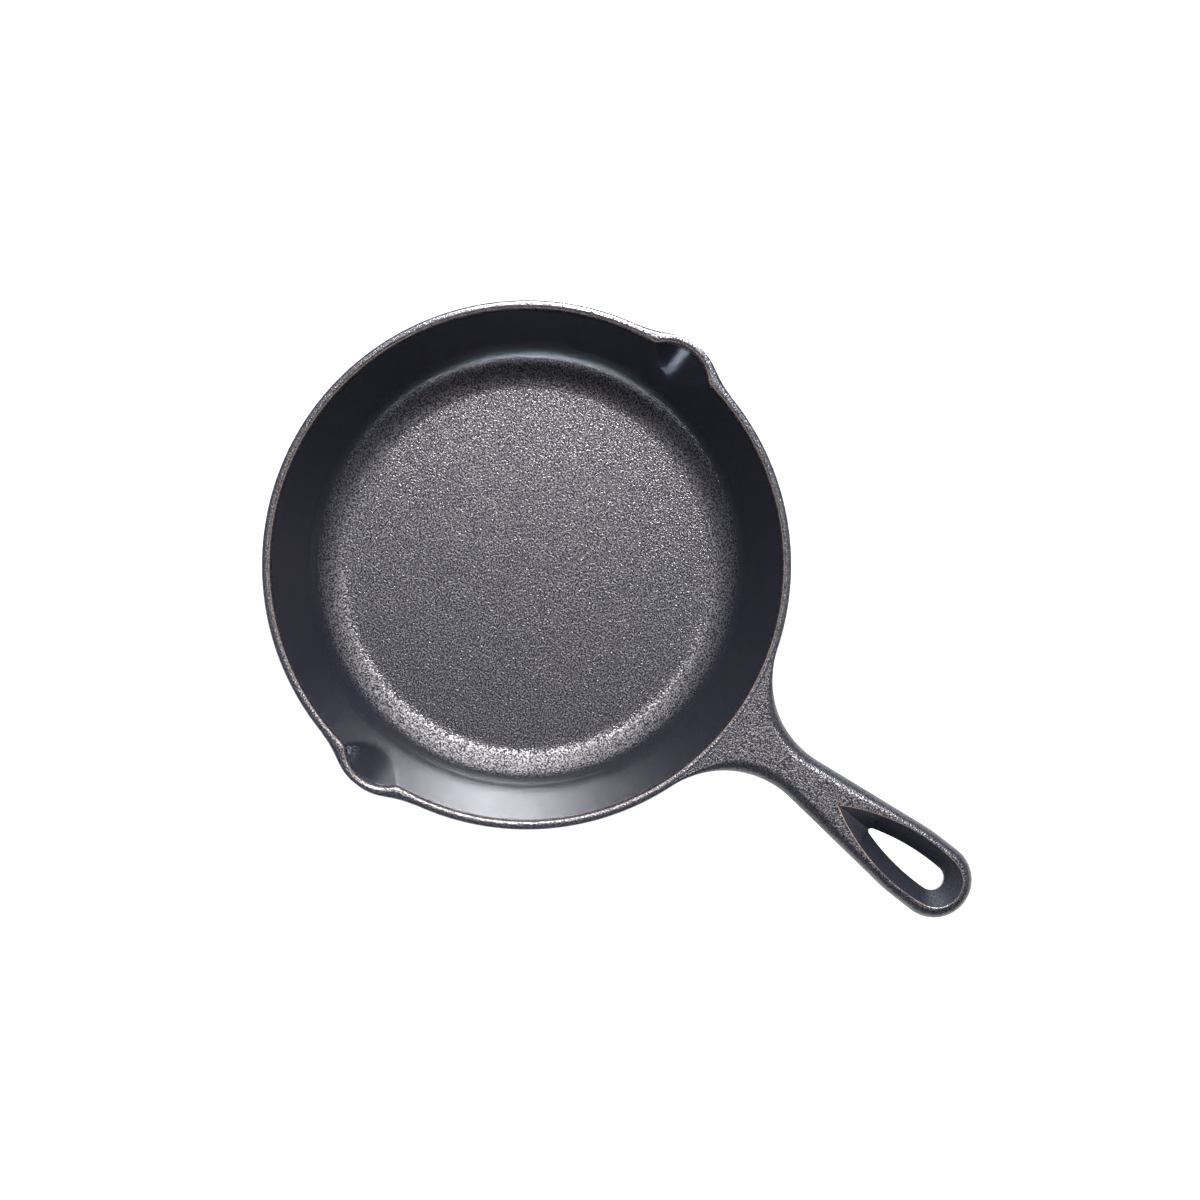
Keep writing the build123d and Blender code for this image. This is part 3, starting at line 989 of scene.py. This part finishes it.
def add_floor(finish):
    """A wide plain floor just under the base."""
    bm = bmesh.new()
    bmesh.ops.create_grid(bm, x_segments=1, y_segments=1, size=FLOOR_HALF_WIDTH)
    mesh = bpy.data.meshes.new("studio_floor")
    bm.to_mesh(mesh)
    bm.free()
    material = bpy.data.materials.new("studio_floor")
    material.use_nodes = True
    nodes, links = material.node_tree.nodes, material.node_tree.links
    shader = nodes["Principled BSDF"]
    shader.inputs["Base Color"].default_value = (*finish.paper, 1)
    shader.inputs["Roughness"].default_value = 0.9
    shader.inputs["Emission Color"].default_value = (1, 1, 1, 1)
    shader.inputs["Emission Strength"].default_value = finish.paper_glow
    coords = nodes.new("ShaderNodeTexCoord").outputs["Object"]
    normal = add_bump(nodes, links, add_noise(nodes, links, coords, 400, 3), 0.0001, 0.2)
    links.new(normal, shader.inputs["Normal"])
    mesh.materials.append(material)
    floor = bpy.data.objects.new("studio_floor", mesh)
    floor.location.z = -FLOOR_GAP
    bpy.context.scene.collection.objects.link(floor)


def add_camera(stage, height):
    """A camera nearly straight above the pan, level with the view's edges."""
    camera = bpy.data.cameras.new("camera")
    camera.sensor_width = 36
    camera.lens = camera.sensor_width * stage.camera_height / stage.view_width
    camera.clip_end = 20
    holder = bpy.data.objects.new("camera", camera)
    aim = Vector((*CAMERA_AIM, height))
    place = Vector((*CAMERA_PLACE, height + stage.camera_height))
    backward = (place - aim).normalized()
    right = VIEW_UP.cross(backward).normalized()
    upward = backward.cross(right)
    turn = Matrix((right, upward, backward)).transposed().to_4x4()
    holder.matrix_world = Matrix.Translation(place) @ turn
    bpy.context.scene.collection.objects.link(holder)
    bpy.context.scene.camera = holder


class SKILLET_OT_stage(bpy.types.Operator):
    """Sets the plain floor, the camera and the soft lamps"""

    bl_idname = "skillet.stage"
    bl_label = "Studio"

    def execute(self, context):
        scene = context.scene
        stage, bowl = scene.skillet_stage, scene.skillet_bowl
        add_floor(scene.skillet_finish)
        add_camera(stage, bowl.height)
        target = (0, 0, bowl.height / 2)
        for name, power, (upward, right, height), size, tint in LAMPS:
            place = VIEW_UP * upward + VIEW_RIGHT * right + UP * height
            add_lamp(name, place, target, size, getattr(stage, power), tint)
        world = bpy.data.worlds.new("studio")
        world.use_nodes = True
        world.node_tree.nodes["Background"].inputs["Color"].default_value = (*stage.sky, 1)
        scene.world = world
        scene.view_settings.view_transform = "Standard"
        return {"FINISHED"}


class SKILLET_PT_panel(bpy.types.Panel):
    """Lists the skillet's parts and sizes"""

    bl_idname = "SKILLET_PT_panel"
    bl_label = "Cast Iron Skillet"
    bl_space_type = "VIEW_3D"
    bl_region_type = "UI"
    bl_category = "Skillet"

    def draw(self, context):
        for operator in OPERATORS:
            self.layout.operator(operator.bl_idname)
        for name, group in GROUPS.items():
            box = self.layout.box()
            box.label(text=group.__doc__)
            for size in group.__annotations__:
                box.prop(getattr(context.scene, name), size)


GROUPS = {
    "skillet_bowl": SkilletBowl,
    "skillet_spout": SkilletSpout,
    "skillet_handle": SkilletHandle,
    "skillet_finish": SkilletFinish,
    "skillet_stage": SkilletStage,
}
OPERATORS = (
    SKILLET_OT_stage,
    SKILLET_OT_cooking_surface,
    SKILLET_OT_walls,
    SKILLET_OT_spouts,
    SKILLET_OT_handle,
)


def register():
    for kind in (*GROUPS.values(), *OPERATORS, SKILLET_PT_panel):
        bpy.utils.register_class(kind)
    for name, group in GROUPS.items():
        setattr(bpy.types.Scene, name, PointerProperty(type=group))


def unregister():
    for name in GROUPS:
        delattr(bpy.types.Scene, name)
    for kind in reversed((*GROUPS.values(), *OPERATORS, SKILLET_PT_panel)):
        bpy.utils.unregister_class(kind)


def main():
    register()
    bpy.ops.skillet.stage()
    bpy.ops.skillet.cooking_surface()
    bpy.ops.skillet.walls()
    bpy.ops.skillet.spouts()
    bpy.ops.skillet.handle()


if __name__ == "__main__":
    main()
